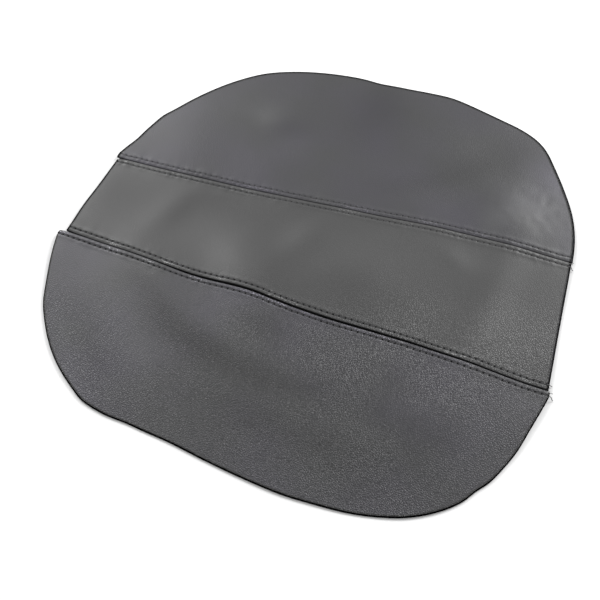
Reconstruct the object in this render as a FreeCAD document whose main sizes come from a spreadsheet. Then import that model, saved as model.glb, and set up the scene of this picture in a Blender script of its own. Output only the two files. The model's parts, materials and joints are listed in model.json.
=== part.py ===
# A sewn cover skin, lying flat with its good side up: three leatherette panels, a tapered middle one
# between two rounded ones, joined by two open seams. Each seam edge is turned under, away from the
# ditch, and topstitched through both layers. Every panel is a grained skin on a cloth backing.
# +Z is up, +X runs along the middle panel towards its wide end, and +Y points to the far panel.
# The origin is at the bottom, in the centre of the outline.
import FreeCAD
import Part
import Sketcher
import math
import os

# Driving dimensions, in millimetres and degrees: alias, value, meaning.
SHEET_SIZES = [
    ("skin", 0.45, "thickness of the grained skin"),
    ("backing", 0.75, "thickness of the cloth backing"),
    ("ditch", 0.25, "from the middle of a seam to each folded edge"),
    ("turned", 10.0, "from the middle of a seam to the raw edge that is turned under"),
    ("step_start", 10.6, "where the sheet starts down from the turned edge"),
    ("step_end", 17.0, "where the sheet meets the table"),
]
SEAM_SIZES = [
    ("centre_x", 0.7, "moves the outline sideways so that the origin is at its centre"),
    ("far_y", 37.4, "far seam at x = 0"),
    ("near_y", -44.1, "near seam at x = 0"),
    ("tilt", 2.42, "angle of each seam to the X axis"),
    ("half_span", 175.0, "half the length of a panel's section before it is cut to its outline"),
    ("flap_reach", 130.0, "how far a side panel's section reaches from its seam"),
    ("middle_reach", 48.0, "how far each half of the middle panel reaches from its seam"),
    ("waste", 60.0, "how far the waste outside an outline reaches past half_span"),
]
STITCH_SIZES = [
    ("pitch", 3.8, "length of one stitch"),
    ("row", 3.5, "from the middle of a seam to each row of topstitching"),
    ("thread", 0.5, "width of the topstitching thread"),
    ("thread_high", 0.4, "height of the needle thread above its channel"),
    ("leg", 0.2, "half the width of a stitch where it goes through"),
    ("shoulder", 0.5, "from a needle hole to the full height of a stitch"),
    ("dip", 0.25, "how far a stitch sinks at its needle hole"),
    ("channel", 0.4, "half the width of the channel that a row of stitches lies in"),
    ("channel_top", 0.2, "depth of the channel on the good side"),
    ("channel_under", 0.3, "depth of the channel on the underside"),
    ("sunk", 0.02, "how far the bobbin thread stays above the bottom"),
    ("bobbin_high", 0.26, "height of the bobbin thread"),
    ("joining", 0.3, "width of the hidden thread that joins two panels"),
    ("hook", 0.12, "how far a joining loop passes the middle of the ditch"),
    ("loop_gap", 0.6, "from a needle loop to the bobbin loop that it hooks"),
]
# The rows of stitches: where each one starts along its seam, and how many stitches it has.
ROWS = [
    ("far_outer", -149.6, 79),
    ("far_inner", -149.0, 79),
    ("far_join", -149.4, 79),
    ("near_outer", -157.0, 83),
    ("near_inner", -154.4, 81),
    ("near_join", -154.8, 81),
]
# Outlines, each corner with the radius of the arc to the next one, or 0 for a straight edge. A minus
# sign makes the arc hollow. A side panel's corners are along its own seam and away from it; the middle
# panel's are in X and Y.
FAR_OUTLINE = [
    (153.2, -1.0, 0), (153.0, 2.9, 118.2), (144.9, 46.4, 275.6), (128.1, 81.8, 54.0), (98.3, 106.4, 0),
    (73.7, 114.7, 112.4), (29.0, 120.4, -212.3), (-4.4, 120.5, 154.1), (-52.9, 116.7, 107.9),
    (-105.0, 87.1, 168.9), (-137.2, 40.4, 238.3), (-150.7, 4.0, 0), (-150.8, -1.0, 0),
]
NEAR_OUTLINE = [
    (158.6, -1.0, 0), (159.2, 3.0, 212.6), (138.6, 55.6, 106.4), (99.7, 95.6, 87.3), (51.1, 107.7, -160.8),
    (22.2, 108.9, 604.0), (-35.4, 113.7, 170.3), (-96.8, 104.6, 76.1), (-144.0, 57.7, 354.6),
    (-158.1, 3.6, 0), (-157.6, -1.0, 0),
]
MIDDLE_OUTLINE = [
    (152.6, 46.0, 0), (-149.2, 36.0, 0), (-154.2, -42.0, 0), (155.9, -54.0, 0),
]

# A rotation needs some angle to hold its axis, until the sheet's angle takes over.
FIRST_ANGLE = 1.0
# A section that keeps more than this share of its volume wasn't cut by its outline.
MOST_LEFT = 0.99

doc = FreeCAD.newDocument("cover_skin")
sheet = doc.addObject("Spreadsheet::Sheet", "Sizes")
pieces = []


def fill_sheet():
    """Write every driving dimension to the spreadsheet, one alias to a row."""
    rows = SHEET_SIZES + SEAM_SIZES + STITCH_SIZES
    for name, start, count in ROWS:
        rows.append((name + "_start", start, "first needle hole of the row, along its seam"))
        rows.append((name + "_count", count, "stitches in the row"))
    for panel, outline in (("far", FAR_OUTLINE), ("near", NEAR_OUTLINE), ("middle", MIDDLE_OUTLINE)):
        for number, (along, across, radius) in enumerate(outline):
            corner = f"{panel}_corner_{number}"
            rows.append((corner + "_along", along, "outline corner"))
            rows.append((corner + "_across", across, "outline corner"))
            if radius:
                rows.append((corner + "_radius", abs(radius), "outline arc to the next corner"))
    for line, (alias, value, meaning) in enumerate(rows, start=1):
        sheet.set(f"A{line}", meaning)
        sheet.set(f"B{line}", str(value))
        sheet.setAlias(f"B{line}", alias)
    doc.recompute()


def is_cell(word):
    return word[0].isalpha()


def amount(formula):
    """The value of a sum such as "ditch + skin - leg", from the sheet's cells."""
    total = 0.0
    sign = 1.0
    for word in formula.split():
        if word in "+-":
            sign = -1.0 if word == "-" else 1.0
        else:
            total += sign * (float(sheet.get(word)) if is_cell(word) else float(word))
    return total


def linked(formula):
    """The same sum as an expression that follows the sheet."""
    return " ".join("Sizes." + word if is_cell(word) else word for word in formula.split())


def origin_plane(body, role):
    return next(item for item in body.Origin.OriginFeatures if item.Role == role)


def new_body(name, seam_y=None, turn=None):
    """A body for one piece. A side panel's pieces are drawn along their own seam and then turned."""
    body = doc.addObject("PartDesign::Body", name)
    body.Label = name
    upright = FreeCAD.Vector(0, 0, 1)
    body.Placement = FreeCAD.Placement(FreeCAD.Vector(), FreeCAD.Rotation(upright, FIRST_ANGLE))
    body.setExpression("Placement.Base.x", linked("centre_x"))
    body.setExpression("Placement.Base.y", linked(seam_y or "0"))
    body.setExpression("Placement.Rotation.Angle", linked(turn or "0"))
    pieces.append(body)
    return body


def new_sketch(body, name, role):
    sketch = body.newObject("Sketcher::SketchObject", name)
    sketch.AttachmentSupport = [(origin_plane(body, role), "")]
    sketch.MapMode = "FlatFace"
    return sketch


def arc_between(first, second, radius, turn):
    """The shorter arc of that radius between two points, turning left (1) or right (-1)."""
    chord = second - first
    rise = math.sqrt(max(radius ** 2 - (chord.Length / 2) ** 2, 0.0))
    side = FreeCAD.Vector(-chord.y, chord.x, 0).normalize() * turn
    middle = (first + second) / 2
    crown = middle - side * (radius - rise)
    return Part.Arc(first, crown, second)


def bind(sketch, kind, geometry, formula):
    """Hold one size of the sketch to the sheet."""
    index = sketch.addConstraint(Sketcher.Constraint(kind, *geometry, amount(formula)))
    sketch.setExpression(f"Constraints[{index}]", linked(formula))


def draw_loop(sketch, corners):
    """Draw a closed loop. Each corner is (x, y) or (x, y, radius, turn) when an arc leaves it."""
    points = [FreeCAD.Vector(amount(corner[0]), amount(corner[1]), 0) for corner in corners]
    first_edge = sketch.GeometryCount
    for number, corner in enumerate(corners):
        here = points[number]
        there = points[(number + 1) % len(corners)]
        if len(corner) == 4:
            sketch.addGeometry(arc_between(here, there, amount(corner[2]), corner[3]))
        else:
            sketch.addGeometry(Part.LineSegment(here, there))
    starts = []
    for number, corner in enumerate(corners):
        edge = first_edge + number
        left_turn = len(corner) == 2 or corner[3] > 0
        starts.append((edge, 1) if left_turn else (edge, 2))
    for number, corner in enumerate(corners):
        edge, start = starts[number]
        before, before_start = starts[number - 1]
        sketch.addConstraint(Sketcher.Constraint("Coincident", before, 3 - before_start, edge, start))
        bind(sketch, "DistanceX", (-1, 1, edge, start), corner[0])
        bind(sketch, "DistanceY", (-1, 1, edge, start), corner[1])
        if len(corner) == 4:
            bind(sketch, "Radius", (edge,), corner[2])


def pad_both_ways(body, sketch, name, formula):
    pad = body.newObject("PartDesign::Pad", name)
    pad.Profile = sketch
    pad.SideType = "Symmetric"
    pad.setExpression("Length", linked(formula))
    body.Tip = pad
    return pad


def skin_section(reach):
    """The skin across a seam edge: over the top, round the fold and back along the underside."""
    top = "skin + backing + skin + backing"
    return [
        (reach, "skin + backing"), ("step_end", "skin + backing"), ("step_start", top),
        ("row + channel", top), ("row + channel", top + " - channel_top"),
        ("row - channel", top + " - channel_top"), ("row - channel", top),
        ("ditch + skin + backing", top, "skin + backing", 1),
        ("ditch", "skin + backing", "skin + backing", 1), ("ditch + skin + backing", "0"),
        ("row - channel", "0"), ("row - channel", "channel_under"),
        ("row + channel", "channel_under"), ("row + channel", "0"),
        ("turned", "0"), ("turned", "skin"),
        ("ditch + skin + backing", "skin", "backing", -1),
        ("ditch + skin", "skin + backing", "backing", -1),
        ("ditch + skin + backing", "skin + backing + backing"),
        ("step_start", "skin + backing + backing"), ("step_end", "backing"), (reach, "backing"),
    ]


def backing_section(reach):
    """The backing across a seam edge, folded on itself inside the skin."""
    return [
        (reach, "backing"), ("step_end", "backing"), ("step_start", "skin + backing + backing"),
        ("ditch + skin + backing", "skin + backing + backing", "backing", 1),
        ("ditch + skin", "skin + backing", "backing", 1),
        ("ditch + skin + backing", "skin"), ("turned", "skin"), ("turned", "skin + backing"),
        ("step_start", "skin + backing"), ("step_end", "0"), (reach, "0"),
    ]


def outline_corners(panel, outline):
    """The corners of a panel's outline, as cells of the sheet."""
    corners = []
    for number, (along, across, radius) in enumerate(outline):
        corner = f"{panel}_corner_{number}"
        place = (corner + "_along", corner + "_across")
        turn = 1 if radius > 0 else -1
        corners.append(place + (corner + "_radius", turn) if radius else place)
    return corners


def cut_to_outline(body, panel, outline):
    """Cut away everything outside the panel's outline."""
    sketch = new_sketch(body, body.Label + "_outline", "XY_Plane")
    low = "0 - half_span - waste"
    high = "half_span + waste"
    draw_loop(sketch, [(low, low), (high, low), (high, high), (low, high)])
    draw_loop(sketch, outline_corners(panel, outline))
    doc.recompute()
    before = body.Shape.Volume
    pocket = body.newObject("PartDesign::Pocket", body.Label + "_cut")
    pocket.Profile = sketch
    pocket.Type = "ThroughAll"
    pocket.SideType = "Symmetric"
    body.Tip = pocket
    doc.recompute()
    if body.Shape.Volume > before * MOST_LEFT:
        raise RuntimeError(body.Label + ": the outline cut nothing")


def side_panel(panel, seam_y, turn, outline):
    """A side panel's skin and backing, drawn along its seam."""
    for layer, section in (("face", skin_section), ("backing", backing_section)):
        body = new_body(f"{panel}_panel_{layer}", seam_y, turn)
        sketch = new_sketch(body, body.Label + "_section", "YZ_Plane")
        draw_loop(sketch, section("flap_reach"))
        pad_both_ways(body, sketch, body.Label + "_sheet", "half_span + half_span")
        cut_to_outline(body, panel, outline)


def middle_panel():
    """The middle panel's skin and backing, each one half from each seam."""
    halves = (("far", "far_y", "180 + tilt"), ("near", "near_y", "0 - tilt"))
    for layer, section in (("face", skin_section), ("backing", backing_section)):
        body = new_body("middle_panel_" + layer)
        for half, seam_y, turn in halves:
            sketch = new_sketch(body, f"{body.Label}_{half}_section", "YZ_Plane")
            upright = FreeCAD.Vector(0, 1, 0)
            sketch.AttachmentOffset = FreeCAD.Placement(
                FreeCAD.Vector(), FreeCAD.Rotation(upright, FIRST_ANGLE))
            sketch.setExpression(".AttachmentOffset.Base.x", linked(seam_y))
            sketch.setExpression(".AttachmentOffset.Rotation.Angle", linked(turn))
            draw_loop(sketch, section("middle_reach"))
            pad_both_ways(body, sketch, f"{body.Label}_{half}_half", "half_span + half_span")
            doc.recompute()
        cut_to_outline(body, "middle", MIDDLE_OUTLINE)


def repeat_stitch(body, unit, row):
    """Repeat one stitch along the row."""
    pattern = body.newObject("PartDesign::LinearPattern", body.Label + "_row")
    pattern.Originals = [unit]
    pattern.Direction = (next(item for item in body.Origin.OriginFeatures if item.Role == "X_Axis"), [""])
    pattern.Mode = "Spacing"
    pattern.setExpression("Offset", linked("pitch"))
    pattern.setExpression("Occurrences", linked(row + "_count"))
    body.Tip = pattern
    doc.recompute()


def needle_stitch(start):
    """One topstitch on the good side: up out of its hole, along the channel and down again."""
    floor = "skin + backing + skin + backing - channel_top"
    top = floor + " + thread_high"
    end = start + " + pitch"
    middle = "skin + backing"
    return [
        (start, middle), (start + " + leg", middle), (start + " + leg", floor), (end + " - leg", floor),
        (end + " - leg", middle), (end, middle), (end, top + " - dip"), (end + " - shoulder", top),
        (start + " + shoulder", top), (start, top + " - dip"),
    ]


def bobbin_stitch(start):
    """The stitch under it, flush in the underside's channel."""
    low = "sunk"
    high = "sunk + bobbin_high"
    end = start + " + pitch"
    middle = "skin + backing"
    return [
        (start, low), (end, low), (end, middle), (end + " - leg", middle), (end + " - leg", high),
        (start + " + leg", high), (start + " + leg", middle), (start, middle),
    ]


def topstitch_row(name, row, seam_y, turn, side):
    """The needle thread and the bobbin thread of one row. side is 1 on the side panel, -1 on the middle."""
    for thread, stitch in (("needle_thread", needle_stitch), ("bobbin_thread", bobbin_stitch)):
        body = new_body(f"{name}_{thread}", seam_y, turn)
        sketch = new_sketch(body, body.Label + "_stitch", "XZ_Plane")
        sketch.AttachmentOffset = FreeCAD.Placement(FreeCAD.Vector(0, 0, 1), FreeCAD.Rotation())
        sketch.setExpression(".AttachmentOffset.Base.z", linked("0 - row" if side > 0 else "row"))
        draw_loop(sketch, stitch(row + "_start"))
        unit = pad_both_ways(body, sketch, body.Label + "_unit", "thread")
        doc.recompute()
        repeat_stitch(body, unit, row)


def joining_stitch(start, side):
    """Seen from above: a length of thread inside the fold, and the loop that crosses the ditch."""
    sign = "+" if side > 0 else "-"
    back = "-" if side > 0 else "+"
    line = f"0 {sign} ditch {sign} skin {sign} backing"
    tip = f"0 {back} hook"
    edge = f"{line} {back} joining"
    end = start + " + pitch"
    loop_end = start + " + joining"
    corners = [
        (start, edge), (start, tip), (loop_end, tip), (loop_end, edge), (end, edge), (end, line), (start, line),
    ]
    return corners if side > 0 else corners[::-1]


def joining_thread(name, row, seam_y, turn, side, shift):
    """One of the two threads that join a seam, with its loops hooked round the other's."""
    body = new_body(name, seam_y, turn)
    sketch = new_sketch(body, name + "_stitch", "XY_Plane")
    sketch.AttachmentOffset = FreeCAD.Placement(FreeCAD.Vector(0, 0, 1), FreeCAD.Rotation())
    sketch.setExpression(".AttachmentOffset.Base.z", linked("skin + backing"))
    draw_loop(sketch, joining_stitch(row + "_start" + shift, side))
    unit = pad_both_ways(body, sketch, name + "_unit", "joining")
    doc.recompute()
    repeat_stitch(body, unit, row)


def seam(panel, seam_y, turn):
    """All the threads of one seam: a row in each of the two panels, and the two joining threads."""
    topstitch_row(panel + "_outer_topstitch", panel + "_outer", seam_y, turn, 1)
    topstitch_row(panel + "_inner_topstitch", panel + "_inner", seam_y, turn, -1)
    joining_thread(panel + "_seam_needle_thread", panel + "_join", seam_y, turn, -1, "")
    joining_thread(panel + "_seam_bobbin_thread", panel + "_join", seam_y, turn, 1, " + loop_gap")


def check_model():
    """Stop if anything failed, so that no broken file is written."""
    doc.recompute()
    for item in doc.Objects:
        if "Invalid" in item.State or "Error" in item.State:
            raise RuntimeError(f"{item.Label} failed: {item.State}")
    for body in pieces:
        shape = body.Shape
        if shape.isNull() or not shape.isValid() or len(shape.Solids) != 1:
            raise RuntimeError(body.Label + " isn't one valid solid")


def write_steps():
    os.makedirs("parts", exist_ok=True)
    for body in pieces:
        body.Shape.exportStep(f"parts/{body.Label}.step")


def print_size():
    box = FreeCAD.BoundBox()
    for body in pieces:
        box.add(body.Shape.BoundBox)
        print(f"{body.Label}: {body.Shape.Volume:.1f} mm3")
    print(f"box x {box.XMin:.2f} to {box.XMax:.2f}, y {box.YMin:.2f} to {box.YMax:.2f}, "
          f"z {box.ZMin:.2f} to {box.ZMax:.2f}")


fill_sheet()
side_panel("far", "far_y", "tilt", FAR_OUTLINE)
middle_panel()
side_panel("near", "near_y", "180 - tilt", NEAR_OUTLINE)
seam("far", "far_y", "tilt")
seam("near", "near_y", "180 - tilt")
check_model()
write_steps()
print_size()
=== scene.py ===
# The looks of a sewn leatherette cover skin, built around its CAD frame.
# Every panel is drawn as the flat sheet that it was cut from, and its seam edges are then folded under.
# Sizes here are in millimetres, and turn into metres when a mesh is made. +Z is up.
import json
import math

import bpy
import numpy as np
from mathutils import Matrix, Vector
from mathutils.geometry import delaunay_2d_cdt


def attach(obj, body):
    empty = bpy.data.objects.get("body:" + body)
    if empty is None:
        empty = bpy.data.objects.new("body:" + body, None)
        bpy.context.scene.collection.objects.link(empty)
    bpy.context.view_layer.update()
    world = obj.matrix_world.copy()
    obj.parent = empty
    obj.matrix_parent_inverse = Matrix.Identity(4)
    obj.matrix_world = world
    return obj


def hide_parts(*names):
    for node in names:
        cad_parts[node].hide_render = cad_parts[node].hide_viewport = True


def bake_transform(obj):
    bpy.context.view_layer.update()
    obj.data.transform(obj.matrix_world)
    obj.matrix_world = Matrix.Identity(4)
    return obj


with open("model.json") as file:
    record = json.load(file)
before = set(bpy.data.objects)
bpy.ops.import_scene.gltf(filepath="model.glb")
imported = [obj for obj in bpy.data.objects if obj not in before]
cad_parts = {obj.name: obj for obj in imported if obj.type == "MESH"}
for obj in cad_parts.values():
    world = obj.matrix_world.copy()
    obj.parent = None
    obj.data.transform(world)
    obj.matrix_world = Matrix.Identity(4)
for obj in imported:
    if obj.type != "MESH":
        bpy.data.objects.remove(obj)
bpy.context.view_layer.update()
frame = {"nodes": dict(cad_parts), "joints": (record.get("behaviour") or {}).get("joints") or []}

MM = 0.001

# The sheet and its seams. The limp sheet comes down from a turned edge over a longer way than in CAD.
SHEET = 1.2
SKIN = 0.45
STEP_START = 9.6
STEP_END = 60.0
STITCH_ROW = 3.5
PITCH = 3.8

# The folded edge: where its bend starts, how square it is pressed, and how closely its inner faces lie.
FOLD = 0.95
SQUARE = 0.5
PRESSED = 0.96
INNER_BEND = 0.05
# Painted shade in the ditch: the folded edge is painted dark this far short of a closed seam's middle,
# further out where the ditch is wide, by that share of the ditch's half width, and over that length.
DITCH_TOP = 0.5
DITCH_SPREAD = 0.4
DITCH_BLEND = 0.25
# Just inside the CAD panels' folded edges, where their outlines start.
CAD_EDGE = 0.5

# Distances from a seam's middle at which a strip has a row of points. Minus is the part turned under.
UNDER_ROWS = [-10.0, -9.0, -7.6, -6.2, -5.2, -4.5, -4.05, -3.75, -3.5, -3.25, -2.95, -2.5, -2.0]
BEND_ROWS = [-1.45] + [FOLD * part / 8 for part in range(-8, 9)] + [1.15]
TOP_ROWS = [1.4, 1.7, 2.05, 2.4, 2.7, 2.95, 3.14, 3.32, 3.5, 3.68, 3.86, 4.05, 4.3, 4.65, 5.1, 5.7, 6.5,
            7.4, 8.5, 10.0, 12.0, 14.0]
BACKING_ROWS = [-10.0, -8.0, -6.0, -4.6, -3.5, -2.4, -FOLD, -FOLD / 2, 0.0, FOLD / 2, FOLD, 2.0, 2.8, 3.5,
                4.3, 5.5, 7.5, 10.0, 12.0, 14.0]
STRIP = TOP_ROWS[-1]
# A point counts as within a limit up to this far past it, so that a row on the limit is taken in.
SLACK = 0.1

# How far apart the points of a row are: near the needle holes, near the seam, round the fold, and elsewhere.
HOLE_REACH = 0.6
HOLE_STEP = PITCH / 10
FINE_REACH = 6.0
FINE_STEP = PITCH / 6
BEND_STEP = PITCH / 4
COARSE_STEP = PITCH / 2
BACKING_STEP = PITCH / 3
# And away from the strips: inside a skin, inside a backing, and along a cut edge. The cut edge of a side
# panel is read at steps of so many degrees.
INSIDE_STEP = 2.2
BACKING_INSIDE_STEP = INSIDE_STEP * 1.3
RIM_STEP = 1.0
RIM_DEGREES = 0.25
# From a cut edge to the next points inside it.
RIM_INSET = 0.8
# How far each skin shrinks back from the CAD outline, how far its knit's frayed edge stands out past that
# outline, and how dark the cut edge is, partly its own colour and partly painted shade. Minus is inside the
# outline.
CUT_EDGES = {
    "far_panel": (0.9, 0.75, 1.0),
    "middle_panel": (0.8, 0.45, 0.8),
    "near_panel": (1.1, -0.4, 0.75),
}

# Where each seam leaves its straight line: distance along X, and how far it lies towards +Y there.
FAR_WANDER = [(-150, -1.0), (-112, -1.6), (-60, -1.8), (0, -0.1), (38, 1.1), (66, 2.6), (88, 2.1),
              (120, 0.8), (152, -1.5)]
NEAR_WANDER = [(-150, 0.0), (-108, -0.4), (-68, -1.8), (-50, -1.0), (-25, 1.0), (0, -0.4), (24, -0.9),
               (50, 0.3), (75, 1.1), (112, 0.6), (144, -1.1), (156, -0.6)]
# How far off its seam the wandering dies away, and how far along it the corners are rounded, out of a
# stretch of so many millimetres each way.
WANDER_REACH = 20.0
WANDER_SMOOTH = 7.0
SMOOTH_REACH = 25
# The wandering is worked out this far each way along X.
SEAM_REACH = 200
# Half the width of each seam's ditch at the top: distance along X, and the half width there. Below, the
# ditch is closed.
FAR_GAPS = [(-150, 0.20), (-138, 0.08), (145, 0.10)]
NEAR_GAPS = [(-150, 0.35), (-138, 0.12), (-95, 0.16), (-70, 0.6), (-40, 0.8), (60, 0.75), (120, 0.45),
             (150, 0.4)]
CLOSED_GAP = 0.08
# How far the turned edges draw back at the two ends of each seam, over what length, and how far off it.
FAR_PARTINGS = (0.75, 0.2)
NEAR_PARTINGS = (0.1, 0.3)
PARTING_REACH = 3.5
PARTING_WIDTH = 4.0
# How hard the stitches of each seam pull the sheet in.
FAR_PULL = 0.45
NEAR_PULL = 1.1
# What a pull of 1 presses in: the depth and half width of a row's channel, and the depth, half width and
# half length of a needle hole. Past the row's last holes the channel is shallower and wider.
CHANNEL_DEPTH = 0.20
CHANNEL_WIDTH = 0.40
HOLE_DEPTH = 0.70
HOLE_WIDTH = 0.38
HOLE_LENGTH = 0.55
END_CHANNEL_DEPTH = 0.1
END_CHANNEL_WIDTH = 0.6
# How far past its last holes a row still presses, in stitches.
ROW_END = 0.3
# Swellings beside the stitches: distance from the seam's middle, height, half width, and the share of the
# height that is left beside a needle hole. They are uneven by a share of their height.
SWELLINGS = [(1.95, 0.26, 1.0, 0.65), (5.2, 0.14, 1.2, 0.7)]
UNEVEN = 0.4
UNEVEN_SIZE = 8.0
# Fine puckers across the stitches: height, size, and the distance that is both their middle and half width.
PUCKER = 0.10
PUCKER_SIZE = 2.9
PUCKER_PLACE = 4.5

# Painted shade that a pull of 1 lays on: a dot at each needle hole, with its half width and half length, and
# a faint line between the dots, with its half width.
DOT_DARKNESS = 2.0
DOT_WIDTH = 0.48
DOT_LENGTH = 0.75
LINE_DARKNESS = 0.1
LINE_WIDTH = 0.3
# Painted glints, pale flecks that are also made shinier: bands along a folded edge, by distance from the
# seam's middle, strength and half width, and the size and density of the clusters along them.
GLINT_BANDS = [(1.8, 1.0, 0.9), (4.4, 0.5, 0.6)]
CLUSTER_SIZE = 12.0
CLUSTER_DENSITY = 1.8
# How deep the grain stands at the far left, how much deeper at the near right, across what width it changes,
# and the size and strength of its patches.
GRAIN_LEAST = 0.2
GRAIN_GAIN = 0.75
GRAIN_TILT = 0.2
GRAIN_WIDTH = 80
GRAIN_PATCH = 24.0
GRAIN_MEAN = 0.9
GRAIN_SPREAD = 0.35

# Threads: sides of the tube, plies, how deep the plies part, and the length of one twist.
THREAD_SIDES = 12
PLIES = 3
PLY_DEPTH = 0.14
TOPSTITCH_TWIST = 1.3
JOINING_TWIST = 0.9
JOINING_HALF = 0.14
# Each topstitching thread's lowest and highest middle line, and its half width and half height.
TOPSTITCH_THREADS = {
    "needle_thread": (1.25, 2.33, 0.25, 0.25),
    "bobbin_thread": (1.15, 0.17, 0.24, 0.15),
}
# A stitch rises out of its hole this far from the hole's middle, in an arch of so many points and so square,
# and leans to one side or the other.
HOLE_HALF = 0.42
STITCH_POINTS = 21
STITCH_SQUARE = 0.5
LEAN = 0.05
LEAN_TURN = 2.4
# A loose end past the panel's edge, by distance past it, distance off the row, and height.
LOOSE_END = [(0.6, 0.2, 2.13), (1.0, 0.4, 1.6), (1.5, 0.8, 0.8), (2.1, 0.9, 0.35)]
# One stitch of a joining thread, by distance along the seam and off its middle: from the inside of the fold
# across the ditch, round the other thread, back, and on along the fold. Then its tail past the seam's end.
INSIDE_FOLD = FOLD - 0.1
LOOP = [(-0.5, INSIDE_FOLD), (-0.1, INSIDE_FOLD - 0.25), (0.0, 0.6), (0.02, 0.05), (0.08, -0.1),
        (0.22, -0.1), (0.28, 0.05), (0.3, 0.6), (0.4, INSIDE_FOLD - 0.25), (0.8, INSIDE_FOLD),
        (2.0, INSIDE_FOLD)]
JOINING_TAIL = [(-0.8, INSIDE_FOLD), (0.6, 0.5), (1.0, 0.45), (1.5, 0.7)]
# How far along the seam its bobbin thread's loops lie from its needle thread's.
LOOP_SHIFT = 0.18

# Faces that meet at a sharper angle than this, in degrees, keep a hard edge between them.
SHEET_SHARP = 50
THREAD_SHARP = 80

# Soft hills of the limp sheet: centre x and y, height, half length, half width, and the angle of the length.
HILLS = [
    (-112, 72, 0.4, 40, 26, 60),
    (-58, 99, 1.1, 15, 12, 10),
    (2, 152, 1.0, 24, 26, 0),
    (56, 102, 0.6, 26, 16, 20),
    (105, 70, 2.0, 24, 20, 125),
    (-50, 66, 0.4, 60, 14, 6),
    (-150, -6, 1.0, 40, 24, 88),
    (-99, 0, 0.35, 30, 10, 70),
    (-38, -28, 2.0, 26, 18, -72),
    (-8, 6, 0.9, 30, 12, 60),
    (28, -6, 1.5, 34, 22, 8),
    (84, 21, 0.3, 10, 6, 160),
    (112, 0, 1.2, 50, 14, 83),
    (-88, -48, 1.2, 34, 13, -25),
    (-104, -112, 0.4, 50, 20, -42),
    (-34, -80, 1.8, 46, 14, -16),
    (-14, -56, 0.5, 12, 9, 0),
    (42, -88, 0.9, 40, 14, -4),
    (14, -112, 1.1, 50, 13, -6),
    (100, -94, 1.4, 40, 20, 30),
]
# Painted light and shade in the coating's colour, in soft patches of the same form: plus is paler.
PAINTED_LIGHT_AND_SHADE = [
    (4, 130, -0.26, 34, 24, 80),
    (88, 110, -0.36, 34, 13, 50),
    (104, 104, -0.30, 8, 18, 0),
    (48, 76, -0.20, 30, 10, 30),
    (-68, 106, 0.20, 14, 12, 0),
    (-74, 92, -0.20, 12, 8, 0),
    (-98, 54, -0.22, 30, 22, 0),
    (102, 58, 0.70, 11, 12, 0),
    (136, 102, 0.70, 20, 12, 110),
    (148, 46, 0.60, 10, 10, 0),
    (-132, 32, 0.30, 14, 6, 0),
    (-92, 6, -0.22, 12, 26, 0),
    (-144, 0, -0.22, 10, 34, 0),
    (34, 10, 0.48, 52, 24, 8),
    (92, 22, 0.30, 16, 10, 0),
    (144, 8, 0.25, 12, 18, 0),
    (-66, -12, 0.25, 20, 14, -60),
    (-36, -40, 0.70, 12, 22, 0),
    (-86, -60, -0.40, 28, 9, -38),
    (-44, -86, -0.40, 34, 9, -22),
    (4, -99, -0.20, 36, 8, -6),
    (-14, -66, -0.22, 13, 8, 0),
    (36, -114, -0.42, 90, 40, -4),
    (56, -80, -0.16, 46, 10, 0),
    (-96, -84, 0.60, 44, 16, -40),
    (-120, -112, 0.70, 30, 10, -55),
    (-134, 76, 0.30, 26, 9, 62),
    (-76, 20, -0.20, 12, 14, 0),
    (122, 66, -0.25, 8, 10, 0),
    (-96, -136, 0.55, 46, 14, -32),
    (124, -38, 0.45, 20, 14, 0),
    (128, -92, 0.25, 14, 16, 0),
]
# Small dents in the outline, going round it clockwise from the left: centre x and y, how far they push it
# in, and their reach. Minus is a bulge.
DENTS = [
    (-153, -14, -0.7, 14),
    (-148, 52, 1.4, 10),
    (-137, 77, -1.0, 8),
    (-85, 140, -0.7, 16),
    (-3, 159, 0.9, 10),
    (49, 160, -0.9, 12),
    (116, 136, -0.9, 14),
    (147, -94, -1.0, 14),
    (133, -124, 1.0, 7),
    (53, -160, 0.8, 16),
    (-62, -150, 1.5, 11),
    (-91, -144, -1.0, 9),
    (-143, -90, -0.9, 12),
]
# Fine creases in one crumpled corner: its centre, its reach, their height and their width. Then the ripple
# of the whole sheet.
CRUMPLED = (128, 80)
CRUMPLED_REACH = 26.0
CREASE = 0.22
CREASE_SIZE = 6.5
RIPPLE = 0.3
RIPPLE_SIZE = 26.0


# ---------------------------------------------------------------- shapes shared by cloth and thread

def smooth_step(value):
    value = np.clip(value, 0.0, 1.0)
    return value * value * (3 - 2 * value)


def bump(distance, width):
    return np.exp(-(distance / width) ** 2)


def soft_noise(x, y, size, seed):
    """Smooth random hills about that many millimetres across, from -1 to 1."""
    count = 128
    grid = np.random.RandomState(seed).uniform(-1, 1, (count, count))
    u = np.asarray(x) / size + count / 2
    v = np.asarray(y) / size + count / 2
    column = np.floor(u).astype(int)
    row = np.floor(v).astype(int)
    right = smooth_step(u - column)
    up = smooth_step(v - row)
    column = (column % count, (column + 1) % count)
    row = (row % count, (row + 1) % count)
    low = grid[row[0], column[0]] * (1 - right) + grid[row[0], column[1]] * right
    high = grid[row[1], column[0]] * (1 - right) + grid[row[1], column[1]] * right
    return low * (1 - up) + high * up


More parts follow.
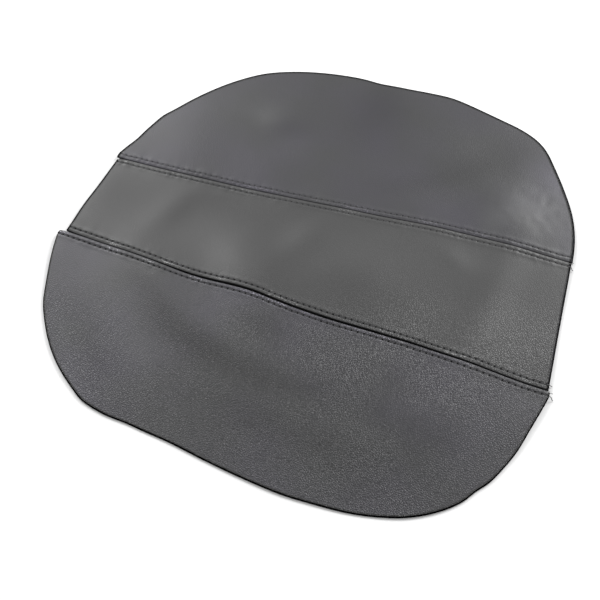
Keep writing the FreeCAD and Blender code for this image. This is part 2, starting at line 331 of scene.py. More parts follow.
class Seam:
    """A seam's line in plan: its middle, the way along it, and the way off it to its side panel."""

    def __init__(self, joint_name, wander, gaps, partings, pull):
        joint = next(item for item in frame["joints"] if item["name"] == joint_name)
        self.centre = np.array(joint["pos_m"][:2]) / MM
        self.along = np.array(joint["axis"][:2])
        self.away = np.array([-self.along[1], self.along[0]])
        self.rightward = 1 if self.along[0] > 0 else -1
        self.gaps = np.array(gaps)
        self.partings = partings
        self.pull = pull
        self.places = np.arange(-SEAM_REACH, SEAM_REACH + 1)
        knots = np.array(wander)
        straight = np.interp(self.places, knots[:, 0], knots[:, 1])
        kernel = bump(np.arange(-SMOOTH_REACH, SMOOTH_REACH + 1), WANDER_SMOOTH)
        longer = np.pad(straight, SMOOTH_REACH, mode="edge")
        self.offsets = np.convolve(longer, kernel / kernel.sum(), mode="valid")

    def wander(self, x, y):
        """How far the seam's wandering carries a point towards +Y."""
        off = (np.stack([x, y], axis=-1) - self.centre) @ self.away
        return np.interp(x, self.places, self.offsets) * bump(off, WANDER_REACH)

    def half_gap(self, x):
        return np.interp(x, self.gaps[:, 0], self.gaps[:, 1])

    def setback(self, x, openness):
        """How far a folded edge stays back from the seam's middle: openness is 0 below and 1 at the top."""
        return CLOSED_GAP + (self.half_gap(x) - CLOSED_GAP) * openness


far_seam = Seam("far_panel_fold", FAR_WANDER, FAR_GAPS, FAR_PARTINGS, FAR_PULL)
near_seam = Seam("near_panel_fold", NEAR_WANDER, NEAR_GAPS, NEAR_PARTINGS, NEAR_PULL)
side_seams = {"far_panel": far_seam, "near_panel": near_seam}


def soft_patches(x, y, patches):
    """The sum of soft oval patches, each with its strength in the middle and nothing far away."""
    total = 0.0
    for centre_x, centre_y, strength, half_long, half_wide, angle in patches:
        turn = math.radians(angle)
        ahead = (x - centre_x) * math.cos(turn) + (y - centre_y) * math.sin(turn)
        aside = (y - centre_y) * math.cos(turn) - (x - centre_x) * math.sin(turn)
        total = total + strength * bump(ahead, half_long) * bump(aside, half_wide)
    return total


def rise(x, y):
    """How high the limp sheet lies off the table."""
    height = RIPPLE * (soft_noise(x, y, RIPPLE_SIZE, seed=3) + 1) / 2 + soft_patches(x, y, HILLS)
    crumpled = bump(x - CRUMPLED[0], CRUMPLED_REACH) * bump(y - CRUMPLED[1], CRUMPLED_REACH)
    return height + CREASE * (1 - np.abs(soft_noise(x, y, CREASE_SIZE, seed=5))) * crumpled


def settle(points):
    """Let points of the flat, straight cover wander and rise as the real one does."""
    x, y, z = points.T
    pushed = 1.0
    for centre_x, centre_y, depth, size in DENTS:
        off = np.hypot(x - centre_x, y - centre_y)
        pushed = pushed - depth / math.hypot(centre_x, centre_y) * bump(off, size)
    moved = y + sum(seam.wander(x, y) for seam in side_seams.values())
    return np.stack([x * pushed, moved * pushed, z + rise(x, y)], axis=1)


# ---------------------------------------------------------------- outlines, read from the CAD nodes

def plan_edges(node):
    """The edges of a CAD node seen from above."""
    mesh = frame["nodes"][node].data
    points = np.empty(len(mesh.vertices) * 3)
    mesh.vertices.foreach_get("co", points)
    pairs = np.empty(len(mesh.edges) * 2, dtype=int)
    mesh.edges.foreach_get("vertices", pairs)
    return (points.reshape(-1, 3)[:, :2] / MM)[pairs.reshape(-1, 2)]


def reach(edges, start, way):
    """How far those edges reach from a point in one direction."""
    across = (edges - start) @ np.array([-way[1], way[0]])
    ahead = (edges - start) @ way
    crossing = (across[:, 0] * across[:, 1] <= 0) & (across[:, 0] != across[:, 1])
    across = across[crossing]
    ahead = ahead[crossing]
    share = across[:, 0] / (across[:, 0] - across[:, 1])
    return (ahead[:, 0] + share * (ahead[:, 1] - ahead[:, 0])).max()


class Strip:
    """One panel's edge along one seam. side is 1 on the side panel and -1 on the middle panel.

    tail is 1 or -1 when the topstitching's thread has a loose tail at the high or low end of the row.
    """

    def __init__(self, seam, side, tail, panel, row_name):
        self.seam = seam
        self.side = side
        self.tail = tail
        self.edges = plan_edges(panel + "_face")
        thread = plan_edges(row_name + "_needle_thread").reshape(-1, 2)
        places = (thread - seam.centre) @ seam.along
        self.first_hole = places.min()
        self.stitches = round((places.max() - places.min()) / PITCH)

    def local(self, flat):
        offset = flat - self.seam.centre
        return offset @ self.seam.along, self.side * (offset @ self.seam.away)

    def flat(self, along, distance):
        off_seam = np.outer(distance, self.seam.away * self.side)
        return self.seam.centre + np.outer(along, self.seam.along) + off_seam

    def ends(self, distance):
        """Where the outline crosses a row, along the seam. A row turned under ends as the one above it."""
        start = self.flat([0.0], [max(abs(distance), CAD_EDGE)])[0]
        return -reach(self.edges, start, -self.seam.along), reach(self.edges, start, self.seam.along)

    def parting(self, along):
        """How far the folded edge draws back from the ditch near the ends of its seam."""
        parting = np.zeros(len(along))
        for end, width in zip(self.ends(CAD_EDGE), self.seam.partings):
            parting += width * bump(along - end, PARTING_REACH)
        return parting

    def row(self, distance, step, inset):
        """Flat points across the panel, in step with the stitches, with an end and an inset on each side."""
        low, high = self.ends(distance)
        first = math.ceil((low + inset + RIM_INSET - self.first_hole) / step)
        last = math.floor((high - inset - RIM_INSET - self.first_hole) / step)
        places = self.first_hole + step * np.arange(first, last + 1)
        places = np.concatenate([[low, low + inset], places, [high - inset, high]])
        return self.flat(places, np.full(len(places), distance))


# ---------------------------------------------------------------- flat patterns

def round_rim(strip):
    """The outline beyond a side panel's strip, from its low end round to its high end."""
    centre = strip.flat([0.0], [STRIP])[0]
    rim = []
    for angle in np.radians(np.arange(180, -RIM_DEGREES / 2, -RIM_DEGREES)):
        way = strip.seam.along * math.cos(angle) + strip.seam.away * math.sin(angle)
        rim.append(centre + way * reach(strip.edges, centre, way))
    return spaced(np.array(rim), RIM_STEP)


def spaced(line, step):
    """Points evenly spaced along a line, without its two ends."""
    lengths = np.concatenate([[0], np.cumsum(np.linalg.norm(np.diff(line, axis=0), axis=1))])
    marks = np.linspace(0, lengths[-1], max(2, round(lengths[-1] / step)) + 1)[1:-1]
    return np.stack([np.interp(marks, lengths, line[:, axis]) for axis in (0, 1)], axis=1)


def is_inside(points, loop):
    """Whether each point is inside the closed loop."""
    inside = np.zeros(len(points), dtype=bool)
    for here, there in zip(loop, np.roll(loop, -1, axis=0)):
        if here[1] == there[1]:
            continue
        between = (points[:, 1] > min(here[1], there[1])) & (points[:, 1] <= max(here[1], there[1]))
        crossing = here[0] + (points[:, 1] - here[1]) * (there[0] - here[0]) / (there[1] - here[1])
        inside ^= between & (points[:, 0] < crossing)
    return inside


def inner_points(loop, strips, step, inset):
    """A triangular grid over the panel, clear of its strips and its outline."""
    low = loop.min(axis=0)
    high = loop.max(axis=0)
    row_height = step * math.sqrt(0.75)
    lines = []
    for number, y in enumerate(np.arange(low[1], high[1], row_height)):
        x = np.arange(low[0] + step / 2 * (number % 2), high[0], step)
        lines.append(np.stack([x, np.full(len(x), y)], axis=1))
    points = np.concatenate(lines)
    for strip in strips:
        points = points[strip.local(points)[1] > STRIP + 0.6 * step]
    points = points[is_inside(points, loop)]
    gaps = np.min([np.linalg.norm(points - corner, axis=1) for corner in loop], axis=0)
    return points[gaps > inset + 0.5 * step]


def inset_rim(rim, loop, inset):
    """The rim's points once more, a little inside the outline."""
    ahead = np.gradient(rim, axis=0)
    normal = np.stack([-ahead[:, 1], ahead[:, 0]], axis=1) / np.linalg.norm(ahead, axis=1)[:, None]
    moved = rim + normal * inset
    return moved if is_inside(moved, loop).mean() > 0.5 else rim - normal * inset


def outset(loop, width):
    """The closed loop moved outwards by a width."""
    ahead = np.roll(loop, -1, axis=0) - np.roll(loop, 1, axis=0)
    outward = np.stack([ahead[:, 1], -ahead[:, 0]], axis=1) / np.linalg.norm(ahead, axis=1)[:, None]
    return loop + outward * width * (1 if is_anticlockwise(loop) else -1)


def is_anticlockwise(loop):
    x, y = loop.T
    return (x * np.roll(y, -1) - y * np.roll(x, -1)).sum() > 0


def skin_step(distance):
    """How closely a skin's points are set along a row: closest beside the needle holes on the good side."""
    by_holes = abs(abs(distance) - STITCH_ROW) < HOLE_REACH
    if by_holes and distance > 0:
        return HOLE_STEP
    if by_holes or FOLD < distance < FINE_REACH:
        return FINE_STEP
    return BEND_STEP if abs(distance) <= FOLD else COARSE_STEP


def backing_step(distance):
    return BACKING_STEP


def flat_pattern(strips, rows, row_step, inside_step, spread):
    """A panel's flat sheet: its points, its triangles, and its outline as a run of point numbers.

    The outline goes down a strip's high ends, back along its turned edge, up its low ends, and on round the
    rim.
    """
    loop = []
    rims = []
    inside = []
    inset = RIM_INSET - spread
    by_strip = [[strip.row(distance, row_step(distance), inset) for distance in rows] for strip in strips]
    for number, (strip, lines) in enumerate(zip(strips, by_strip)):
        loop += [line[-1] for line in lines[:0:-1]]
        loop += list(lines[0][::-1])
        loop += [line[0] for line in lines[1:]]
        next_lines = by_strip[(number + 1) % len(strips)]
        straight = np.array([lines[-1][0], next_lines[-1][-1]])
        rims.append(round_rim(strip) if len(strips) == 1 else spaced(straight, RIM_STEP))
        loop += list(rims[-1])
        inside += [line[1:-1] for line in lines[1:]]
    loop = np.array(loop)
    inside += [inset_rim(rim, loop, inset) for rim in rims]
    inside.append(inner_points(loop, strips, inside_step, inset))
    loop = outset(loop, spread)
    points = np.concatenate([loop] + inside)
    outline = list(range(len(loop)))
    only_inside = 1
    same_point = 1e-5
    made = delaunay_2d_cdt([Vector(point) for point in points], [], [outline], only_inside, same_point)
    points = np.array([tuple(point) for point in made[0]])
    if not is_anticlockwise(loop):
        outline.reverse()
    return points, np.array(made[2]), outline


# ---------------------------------------------------------------- folding a flat sheet

def off_stitches(strip, along):
    """How far points are from the nearest needle hole along the row, and whether they are in the row."""
    number = (along - strip.first_hole) / PITCH
    in_row = (number > -ROW_END) & (number < strip.stitches + ROW_END)
    return (number - np.round(number)) * PITCH, in_row


def noise_along(strip, along, apart, size, seed):
    """Noise that changes only along a seam. Its two panels read it far apart, so that they don't match."""
    return soft_noise(along, np.full(len(along), strip.side * apart), size, seed)


def hollow(strip, along, distance):
    """How deep the stitches press the sheet in, on its good side and on the part turned under."""
    off_row = np.abs(distance) - STITCH_ROW
    off_hole, in_row = off_stitches(strip, along)
    channel = CHANNEL_DEPTH * bump(off_row, CHANNEL_WIDTH)
    hole = HOLE_DEPTH * bump(off_row, HOLE_WIDTH) * bump(off_hole, HOLE_LENGTH)
    past_row = END_CHANNEL_DEPTH * bump(off_row, END_CHANNEL_WIDTH)
    return strip.seam.pull * np.where(in_row, channel + hole, past_row)


def puff(strip, along, distance):
    """How far the pressed-open edge swells between its stitches and its fold, and a little beyond them."""
    off_hole, _ = off_stitches(strip, along)
    between_holes = 0.5 - 0.5 * np.cos(2 * math.pi * off_hole / PITCH)
    swelling = 0.0
    for place, height, width, at_holes in SWELLINGS:
        share = at_holes + (1 - at_holes) * between_holes
        swelling = swelling + height * bump(distance - place, width) * share
    uneven = 1 + UNEVEN * noise_along(strip, along, 50.0, UNEVEN_SIZE, seed=11)
    pucker = PUCKER * soft_noise(along, distance / 4, PUCKER_SIZE, seed=17 + strip.side)
    return swelling * uneven + pucker * bump(distance - PUCKER_PLACE, PUCKER_PLACE)


def drop(strips, flat):
    """How high the flat sheet is held by its own turned edges."""
    sunk = np.ones(len(flat))
    for strip in strips:
        sunk *= smooth_step((strip.local(flat)[1] - STEP_START) / (STEP_END - STEP_START))
    return SHEET * (1 - sunk)


def signed_power(value, power):
    return np.sign(value) * np.abs(value) ** power


def folded(flat, strips, depth):
    """Where flat points lie at a depth below the good side, once the sheet's seam edges are turned under."""
    depth = depth * PRESSED
    outer = 1 - depth / SHEET
    place = flat.copy()
    height = SHEET - depth + drop(strips, flat)
    for strip in strips:
        along, distance = strip.local(flat)
        from_seam = np.abs(distance)
        pressed = hollow(strip, along, distance) * outer
        swell = puff(strip, along, distance) * outer
        turn = np.clip(distance / FOLD, -1, 1) * math.pi / 2
        setback = strip.seam.setback(flat[:, 0], smooth_step(0.5 + 0.5 * np.sin(turn)))
        bend = (FOLD - setback) * outer + INNER_BEND
        bend_place = FOLD - bend * signed_power(np.cos(turn), SQUARE)
        bend_height = SHEET + (SHEET - depth) * signed_power(np.sin(turn), SQUARE)
        bend_height += swell * np.clip(np.sin(turn), 0, 1)
        in_bend = from_seam < FOLD
        in_strip = distance < STRIP + SLACK
        on_top = height + swell - pressed
        new_height = np.where(in_bend, bend_height, np.where(distance > 0, on_top, depth + pressed))
        across = np.where(in_bend, bend_place, from_seam)
        across = across + strip.parting(along) * bump(from_seam, PARTING_WIDTH)
        new_place = strip.flat(along, 0) + across[:, None] * strip.seam.away * strip.side
        height = np.where(in_strip, new_height, height)
        place = np.where(in_strip[:, None], new_place, place)
    return settle(np.column_stack([place, height]))


def painted_shade_places(flat, strips):
    """Painted shade: 1 in the needle holes and down in the ditches, faint along the stitch rows, and 0 away
    from them.
    """
    shade = np.zeros(len(flat))
    for strip in strips:
        along, distance = strip.local(flat)
        off_hole, in_row = off_stitches(strip, along)
        off_row = np.abs(distance) - STITCH_ROW
        dots = DOT_DARKNESS * bump(off_row, DOT_WIDTH) * bump(off_hole, DOT_LENGTH)
        line = LINE_DARKNESS * bump(off_row, LINE_WIDTH)
        top = DITCH_TOP + DITCH_SPREAD * strip.seam.half_gap(flat[:, 0])
        ditch = smooth_step((top - distance) / DITCH_BLEND) * (np.abs(distance) < FOLD + SLACK)
        shade += strip.seam.pull * (in_row * (dots + line) + ditch)
    return np.clip(shade, 0, 1)


def painted_glints(flat, strips):
    """Painted glints: pale, shinier flecks here and there along the folded edges."""
    flecks = np.zeros(len(flat))
    for strip in strips:
        along, distance = strip.local(flat)
        uneven = noise_along(strip, along, 20.0, CLUSTER_SIZE, seed=23)
        bands = sum(strength * bump(distance - place, width) for place, strength, width in GLINT_BANDS)
        flecks += strip.seam.pull * smooth_step(uneven * CLUSTER_DENSITY) * bands
    return np.clip(flecks, 0, 1)


def grain_depth(flat):
    """How deep the grain stands, in patches: the sheet is stretched nearly smooth on the far left."""
    x, y = flat.T
    depth = GRAIN_LEAST + GRAIN_GAIN * smooth_step((GRAIN_TILT * x - y) / GRAIN_WIDTH)
    return depth * (GRAIN_MEAN + GRAIN_SPREAD * soft_noise(x, y, GRAIN_PATCH, seed=31))


# ---------------------------------------------------------------- making pieces

def make_mesh(name, points, faces, material, sharp_angle):
    mesh = bpy.data.meshes.new(name)
    mesh.from_pydata((points * MM).tolist(), [], faces)
    mesh.materials.append(material)
    mesh.polygons.foreach_set("use_smooth", [True] * len(mesh.polygons))
    mesh.set_sharp_from_angle(angle=math.radians(sharp_angle))
    mesh.validate()
    piece = bpy.data.objects.new(name, mesh)
    bpy.context.scene.collection.objects.link(piece)
    return piece


def join_frame(piece, body, node):
    """Put a piece in place of its CAD node: on the middle panel's body it is fixed to that body, on a side
    panel's it is only baked in place.
    """
    if body == "middle_panel":
        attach(piece, body)
    else:
        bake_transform(piece)
    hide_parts(node)


def sheet_layer(name, pattern, strips, top, bottom, darkness, material):
    """One layer of a panel as a closed shell between two depths below the good side."""
    flat, triangles, outline = pattern
    count = len(flat)
    points = np.concatenate([folded(flat, strips, top), folded(flat, strips, bottom)])
    faces = triangles.tolist() + (triangles[:, ::-1] + count).tolist()
    for here, there in zip(outline, outline[1:] + outline[:1]):
        faces.append([here, here + count, there + count, there])
    piece = make_mesh(name, points, faces, material, SHEET_SHARP)
    # The cut edge is darkened, partly its own dark colour and partly painted shade along the outline.
    rim = np.zeros(len(points))
    rim[outline] = darkness
    rim[np.array(outline) + count] = darkness
    add_attribute(piece, "cut_edge_and_painted_shade", rim)
    # Painted shade in the needle holes, faintly along the stitch rows, and down in the ditches.
    add_attribute(piece, "painted_shade", np.tile(painted_shade_places(flat, strips), 2))
    add_attribute(piece, "grain_depth", np.tile(grain_depth(flat), 2))
    # Painted glints: pale, shinier flecks beside the seams.
    add_attribute(piece, "painted_glints", np.tile(painted_glints(flat, strips), 2))
    # Painted light and shade in soft patches, kept as the tone attribute.
    add_attribute(piece, "tone", np.tile(1 + soft_patches(flat[:, 0], flat[:, 1], PAINTED_LIGHT_AND_SHADE), 2))
    add_flat_place(piece, np.tile(flat, (2, 1)))
    return piece


def add_attribute(piece, name, values):
    attribute = piece.data.attributes.new(name, "FLOAT", "POINT")
    attribute.data.foreach_set("value", values)


def add_flat_place(piece, flat):
    """Keep where each point lies on the flat sheet, so that grain and knit stay with it as it folds."""
    attribute = piece.data.attributes.new("flat_place", "FLOAT_VECTOR", "POINT")
    attribute.data.foreach_set("vector", np.column_stack([flat * MM, np.zeros(len(flat))]).ravel())


def panel(name, strips, skin_material, backing_material):
    """A panel's skin and backing, bonded face to face."""
    shrunk, frayed, darkness = CUT_EDGES[name]
    pattern = flat_pattern(strips, UNDER_ROWS + BEND_ROWS + TOP_ROWS, skin_step, INSIDE_STEP, -shrunk)
    coarse = flat_pattern(strips, BACKING_ROWS, backing_step, BACKING_INSIDE_STEP, frayed)
    skin = sheet_layer(name + "_skin", pattern, strips, 0.0, SKIN, darkness, skin_material)
    backing = sheet_layer(name + "_knit_backing", coarse, strips, SKIN, SHEET, darkness, backing_material)
    join_frame(skin, name, name + "_face")
    join_frame(backing, name, name + "_backing")


def tube(path, side, half_wide, half_high, twist):
    """A closed, three-ply thread along a path that lies square to the side direction."""
    ahead = np.gradient(path, axis=0)
    ahead /= np.linalg.norm(ahead, axis=1)[:, None]
    up = np.cross(ahead, side)
    length = np.concatenate([[0], np.cumsum(np.linalg.norm(np.diff(path, axis=0), axis=1))])
    around = np.arange(THREAD_SIDES) * 2 * math.pi / THREAD_SIDES
    turned = around[None, :] - length[:, None] * 2 * math.pi / twist
    lobes = 1 - PLY_DEPTH + PLY_DEPTH * np.cos(PLIES * turned)
    wide = (half_wide * lobes * np.cos(around))[:, :, None] * np.asarray(side)
    high = (half_high * lobes * np.sin(around))[:, :, None] * up[:, None, :]
    points = (path[:, None, :] + wide + high).reshape(-1, 3)
    faces = []
    for ring in range(len(path) - 1):
        for corner in range(THREAD_SIDES):
            here = ring * THREAD_SIDES + corner
            beside = ring * THREAD_SIDES + (corner + 1) % THREAD_SIDES
            faces.append([here, beside, beside + THREAD_SIDES, here + THREAD_SIDES])
    last = (len(path) - 1) * THREAD_SIDES
    faces.append(list(range(THREAD_SIDES))[::-1])
    faces.append(list(range(last, last + THREAD_SIDES)))
    return points, faces


def place_thread(strip, points):
    """Carry points given along a seam, away from it and up, to their place on the cover."""
    plan = strip.seam.centre + np.outer(points[:, 0], strip.seam.along)
    plan += np.outer(points[:, 1], strip.seam.away * strip.side)
    return settle(np.column_stack([plan, points[:, 2]]))


def loose_end(strip, low, high):
    """The thread's tail from the last hole of a row, over the panel's edge and down to the table."""
    way = strip.tail
    last = strip.first_hole + (strip.stitches * PITCH if way > 0 else 0.0)
    edge = strip.ends(STITCH_ROW)[1 if way > 0 else 0]
    path = [(last, 0.0, low), (last + 0.4 * way, 0.0, high), (edge, 0.1, high)]
    path += [(edge + past * way, off, height) for past, off, height in LOOSE_END]
    path = np.array(path) + (0.0, STITCH_ROW, 0.0)
    return path if way > 0 else path[::-1]


def stitch_line(strip, low, high):
    """A row of arched stitches: each one leaves its hole, lies in its channel, and goes down again."""
    steps = np.linspace(0, math.pi, STITCH_POINTS)
    forward = signed_power(np.cos(steps), STITCH_SQUARE)
    upward = signed_power(np.sin(steps), STITCH_SQUARE)
    half = PITCH / 2 - HOLE_HALF
    path = []
    for number in range(strip.stitches):
        middle = strip.first_hole + (number + 0.5) * PITCH
        lean = LEAN * math.sin(number * LEAN_TURN)
        along = middle - half * forward
        off = STITCH_ROW + lean * forward
        height = low + (high - low) * upward
        path.append(np.stack([along, off, height], axis=1))
    return np.concatenate(path)


def topstitch(strip, row_name, body, material):
    """The two threads of a row of topstitching: one on the good side and one underneath."""
    across = (0.0, 1.0, 0.0)
    for thread, (low, high, half_wide, half_high) in TOPSTITCH_THREADS.items():
        path = stitch_line(strip, low, high)
        if strip.tail and thread == "needle_thread":
            path = np.concatenate([loose_end(strip, low, high), path][::-strip.tail])
        points, faces = tube(path, across, half_wide, half_high, TOPSTITCH_TWIST)
        node = f"{row_name}_{thread}"
        name = node.replace("needle_thread", "upper_stitches").replace("bobbin_thread", "under_stitches")
        piece = make_mesh(name, place_thread(strip, points), faces, material, THREAD_SHARP)
        join_frame(piece, body, node)


def joining_line(strip, first, shift):
    """A hidden thread: along the inside of the fold, with a loop across the ditch at every stitch.

    It ends in a short tail that stands out past the right end of the ditch.
    """
    path = []
    for number in range(strip.stitches - 1):
        start = first + number * PITCH + shift
        path += [(start + ahead, off) for ahead, off in LOOP]
    way = strip.seam.rightward
    edge = strip.ends(CAD_EDGE)[1 if way > 0 else 0]
    tail = [(edge + ahead * way, off) for ahead, off in JOINING_TAIL]
    plan = np.array(path + tail if way > 0 else tail[::-1] + path)
    return np.column_stack([plan, np.full(len(plan), SHEET)])


def joining_threads(name, outer, inner, side_body, material):
    """The two threads that join a seam, each with loops that hook round the other's."""
    first = inner.first_hole + 0.5 * PITCH
    up = (0.0, 0.0, 1.0)
    pieces = (("needle_thread", inner, "middle_panel", 0.0), ("bobbin_thread", outer, side_body, LOOP_SHIFT))
    for thread, strip, body, shift in pieces:
        path = joining_line(strip, first, shift)
        points, faces = tube(path, up, JOINING_HALF, JOINING_HALF, JOINING_TWIST)
        node = f"{name}_{thread}"
        piece = make_mesh(node + "_loops", place_thread(strip, points), faces, material, THREAD_SHARP)
        join_frame(piece, body, node)


# ---------------------------------------------------------------- materials

def new_material(name, roughness, specular):
    material = bpy.data.materials.new(name)
    material.use_nodes = True
    shader = material.node_tree.nodes["Principled BSDF"]
    shader.inputs["Roughness"].default_value = roughness
    shader.inputs["Specular IOR Level"].default_value = specular
    return material, shader


def add_node(material, kind, settings=(), values=(), links=()):
    """Add a node with its settings and socket values, and link its inputs to other nodes' outputs."""
    node = material.node_tree.nodes.new(kind)
    for setting, value in settings:
        setattr(node, setting, value)
    for socket, value in values:
        node.inputs[socket].default_value = value
    for socket, output in links:
        material.node_tree.links.new(output, node.inputs[socket])
    return node


def add_noise(material, place, scale, detail=2.0):
    node = add_node(material, "ShaderNodeTexNoise", values=[("Scale", scale), ("Detail", detail)],
                    links=[("Vector", place)])
    return node.outputs["Fac"]


def add_ramp(material, factor, low, high, stops=(0.0, 1.0)):
    node = add_node(material, "ShaderNodeValToRGB", links=[("Fac", factor)])
    for element, stop, color in zip(node.color_ramp.elements, stops, (low, high)):
        element.position = stop
        element.color = (*color, 1.0)
    return node.outputs["Color"]


def add_mix(material, factor, first, second, blend="MIX"):
    node = add_node(material, "ShaderNodeMix", settings=[("data_type", "RGBA"), ("blend_type", blend)])
    links = material.node_tree.links
    if isinstance(factor, float):
        node.inputs[0].default_value = factor
    else:
        links.new(factor, node.inputs[0])
    links.new(first, node.inputs[6])
    links.new(second, node.inputs[7])
    return node.outputs[2]


def add_range(material, value, low, high, to_low, to_high):
    values = [("From Min", low), ("From Max", high), ("To Min", to_low), ("To Max", to_high)]
    node = add_node(material, "ShaderNodeMapRange", values=values, links=[("Value", value)])
    return node.outputs["Result"]


def add_bump(material, height, strength, distance, normal=None):
    links = [("Height", height)] + ([("Normal", normal)] if normal else [])
    node = add_node(material, "ShaderNodeBump", values=[("Strength", strength), ("Distance", distance * MM)],
                    links=links)
    return node.outputs["Normal"]


def add_multiply(material, first, second):
    node = add_node(material, "ShaderNodeMath", settings=[("operation", "MULTIPLY")],
                    links=[(0, first), (1, second)])
    return node.outputs[0]


def read_attribute(material, name, output="Fac"):
    return add_node(material, "ShaderNodeAttribute", settings=[("attribute_name", name)]).outputs[output]


def read_flat_place(material):
    """Where a point of a sheet lies on the flat pattern, in metres."""
    return read_attribute(material, "flat_place", "Vector")


def grained_leatherette(name, dark, light):
    """Charcoal coated cloth with a pebbled grain, semi-matte, with painted shade in the grain's valleys."""
    white = (1.0, 1.0, 1.0)
    material, shader = new_material(name, 0.44, 0.5)
    place = read_flat_place(material)
    bend = add_node(material, "ShaderNodeTexNoise", values=[("Scale", 600.0), ("Detail", 1.0)],
                    links=[("Vector", place)])
    warped = add_node(material, "ShaderNodeVectorMath", settings=[("operation", "MULTIPLY_ADD")],
                      values=[(1, (0.0011, 0.0011, 0.0011))], links=[(0, bend.outputs["Color"]), (2, place)])
    pebbles = add_node(material, "ShaderNodeTexVoronoi", settings=[("feature", "DISTANCE_TO_EDGE")],
                       values=[("Scale", 830.0)], links=[("Vector", warped.outputs[0])])
    dome = add_range(material, pebbles.outputs["Distance"], 0.0, 0.28, 0.0, 1.0)
    fine = add_noise(material, place, 5200.0)
    patches = add_noise(material, place, 14.0)
    depth = read_attribute(material, "grain_depth")
    grained = add_bump(material, add_multiply(material, dome, depth), 0.7, 0.2)
    surface = add_bump(material, fine, 0.12, 0.03, grained)
    base = add_ramp(material, patches, dark, light, (0.38, 0.62))
    # Painted light and shade in soft patches, multiplied into the coating's colour.
    base = add_mix(material, 1.0, base, read_attribute(material, "tone"), "MULTIPLY")
    # Painted shade in the grain's valleys, as strong as the grain is deep.
    valleys = add_ramp(material, dome, (0.3, 0.3, 0.31), white, (0.0, 0.6))
    color = add_mix(material, depth, base, add_mix(material, 1.0, base, valleys, "MULTIPLY"))
    # Painted glints: pale, shinier flecks beside the seams.
    specks = add_range(material, add_noise(material, place, 1100.0), 0.56, 0.61, 0.0, 1.0)
    flecks = add_multiply(material, specks, read_attribute(material, "painted_glints"))
    pale = add_ramp(material, flecks, white, (9.0, 9.0, 9.0))
    # The cut edge is darkened, partly its own dark colour and partly painted shade along the outline.
    cut = add_ramp(material, read_attribute(material, "cut_edge_and_painted_shade"), white, (0.01, 0.01, 0.01), (0.0, 0.2))
    # Painted shade in the needle holes, faintly along the stitch rows, and down in the ditches.
    shadow = add_ramp(material, read_attribute(material, "painted_shade"), white, (0.02, 0.02, 0.02))
    color = add_mix(material, 1.0, color, pale, "MULTIPLY")
    color = add_mix(material, 1.0, color, cut, "MULTIPLY")
    links = material.node_tree.links
    links.new(add_mix(material, 1.0, color, shadow, "MULTIPLY"), shader.inputs["Base Color"])
    rough = add_range(material, fine, 0.3, 0.7, 0.40, 0.50)
    shine = add_node(material, "ShaderNodeMath", settings=[("operation", "MULTIPLY_ADD")],
                     values=[(1, -0.2)], links=[(0, flecks), (2, rough)])
    links.new(shine.outputs[0], shader.inputs["Roughness"])
    links.new(surface, shader.inputs["Normal"])
    return material


def knitted_backing():
    """Matte dark knit, seen from below and along the cut edges."""
    white = (1.0, 1.0, 1.0)
    material, shader = new_material("knitted_backing", 0.95, 0.02)
    place = read_flat_place(material)
    patches = add_noise(material, place, 160.0)
    values = [("Scale", 300.0), ("Distortion", 0.8), ("Detail", 1.0), ("Detail Scale", 2.0)]
    courses, wales = [add_node(material, "ShaderNodeTexWave", settings=[("bands_direction", direction)],
                               values=values, links=[("Vector", place)]).outputs["Fac"]
                      for direction in ("X", "Y")]
    knit = add_multiply(material, courses, wales)
    fuzz = add_noise(material, place, 9000.0)
    surface = add_bump(material, fuzz, 0.3, 0.05, add_bump(material, knit, 0.8, 0.2))
    threads = add_ramp(material, knit, (0.014, 0.014, 0.015), (0.085, 0.085, 0.090), (0.0, 0.7))
    tone = add_ramp(material, patches, (0.8, 0.8, 0.8), white, (0.3, 0.7))
    # The cut edge is darkened, partly its own dark colour and partly painted shade along the outline.
    cut = add_ramp(material, read_attribute(material, "cut_edge_and_painted_shade"), white, (0.02, 0.02, 0.02), (0.0, 0.3))
    color = add_mix(material, 1.0, threads, tone, "MULTIPLY")
    links = material.node_tree.links
    links.new(add_mix(material, 1.0, color, cut, "MULTIPLY"), shader.inputs["Base Color"])
    links.new(surface, shader.inputs["Normal"])
    return material


def sewing_thread(name, low, high, roughness):
    """Bonded polyester thread with fine filaments along it."""
    material, shader = new_material(name, roughness, 0.5)
    place = add_node(material, "ShaderNodeTexCoord").outputs["Object"]
    filaments = add_noise(material, place, 7000.0, 3.0)
    links = material.node_tree.links
    links.new(add_ramp(material, filaments, low, high, (0.35, 0.65)), shader.inputs["Base Color"])
    links.new(add_bump(material, filaments, 0.35, 0.04), shader.inputs["Normal"])
    shader.inputs["Sheen Weight"].default_value = 0.1
    return material


# ---------------------------------------------------------------- surroundings

def make_floor():
    mesh = bpy.data.meshes.new("floor")
    half = 4.0
    corners = [(-half, -half, 0), (half, -half, 0), (half, half, 0), (-half, half, 0)]
    mesh.from_pydata(corners, [], [(0, 1, 2, 3)])
    floor = bpy.data.objects.new("floor", mesh)
    bpy.context.scene.collection.objects.link(floor)
    material, shader = new_material("pale_floor", 0.9, 0.1)
    shader.inputs["Base Color"].default_value = (0.86, 0.86, 0.86, 1.0)
    mesh.materials.append(material)


def make_light(name, place, size, power):
    """A soft square light that faces the cover."""
    light = bpy.data.lights.new(name, "AREA")
    light.shape = "SQUARE"
    light.size = size
    light.energy = power
    lamp = bpy.data.objects.new(name, light)
    lamp.location = place
    lamp.rotation_euler = Vector(place).to_track_quat("Z", "Y").to_euler()
    bpy.context.scene.collection.objects.link(lamp)


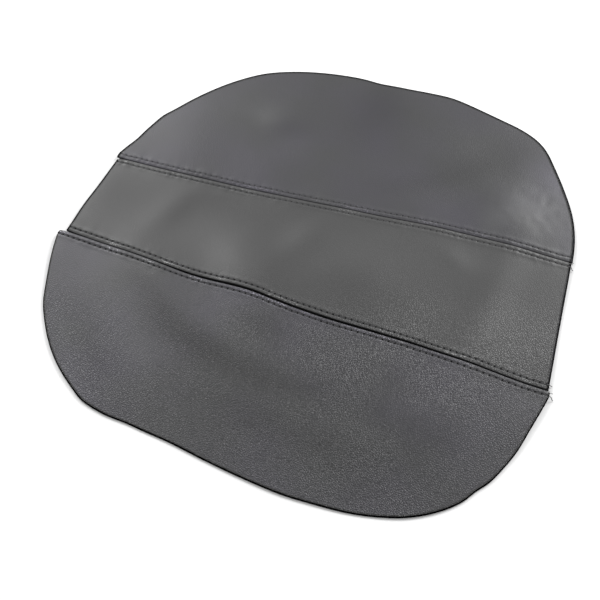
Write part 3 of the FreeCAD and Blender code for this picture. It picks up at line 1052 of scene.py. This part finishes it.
def make_world(strength):
    world = bpy.data.worlds.new("studio")
    world.use_nodes = True
    background = world.node_tree.nodes["Background"]
    background.inputs["Color"].default_value = (1.0, 1.0, 1.0, 1.0)
    background.inputs["Strength"].default_value = strength
    bpy.context.scene.world = world


def make_camera():
    data = bpy.data.cameras.new("camera")
    data.lens = 55.8
    camera = bpy.data.objects.new("camera", data)
    camera.location = (0.10715, -0.33637, 0.4659)
    camera.rotation_euler = (math.radians(34.19), 0.0, math.radians(19.14))
    bpy.context.scene.collection.objects.link(camera)
    bpy.context.scene.camera = camera


# ---------------------------------------------------------------- the cover

make_floor()
make_world(0.6)
make_light("left_window", (-1.40, 1.10, 1.11), 0.9, 31.0)
make_light("right_window", (0.91, 1.58, 1.05), 0.9, 42.0)
make_camera()
bpy.context.scene.view_settings.view_transform = "Standard"

violet_skin = grained_leatherette("grained_leatherette_violet", (0.031, 0.031, 0.033), (0.035, 0.033, 0.042))
grey_skin = grained_leatherette("grained_leatherette_grey", (0.032, 0.032, 0.032), (0.036, 0.036, 0.036))
knit = knitted_backing()
topstitching = sewing_thread("topstitching_thread", (0.032, 0.032, 0.033), (0.066, 0.066, 0.070), 0.4)
joining = sewing_thread("joining_thread_black", (0.010, 0.010, 0.011), (0.022, 0.022, 0.024), 0.5)

far_outer = Strip(far_seam, 1, 0, "far_panel", "far_outer_topstitch")
far_inner = Strip(far_seam, -1, 1, "middle_panel", "far_inner_topstitch")
near_outer = Strip(near_seam, 1, -1, "near_panel", "near_outer_topstitch")
near_inner = Strip(near_seam, -1, -1, "middle_panel", "near_inner_topstitch")

panel("far_panel", [far_outer], violet_skin, knit)
panel("middle_panel", [far_inner, near_inner], grey_skin, knit)
panel("near_panel", [near_outer], violet_skin, knit)
topstitch(far_outer, "far_outer_topstitch", "far_panel", topstitching)
topstitch(far_inner, "far_inner_topstitch", "middle_panel", topstitching)
topstitch(near_outer, "near_outer_topstitch", "near_panel", topstitching)
topstitch(near_inner, "near_inner_topstitch", "middle_panel", topstitching)
joining_threads("far_seam", far_outer, far_inner, "far_panel", joining)
joining_threads("near_seam", near_outer, near_inner, "near_panel", joining)
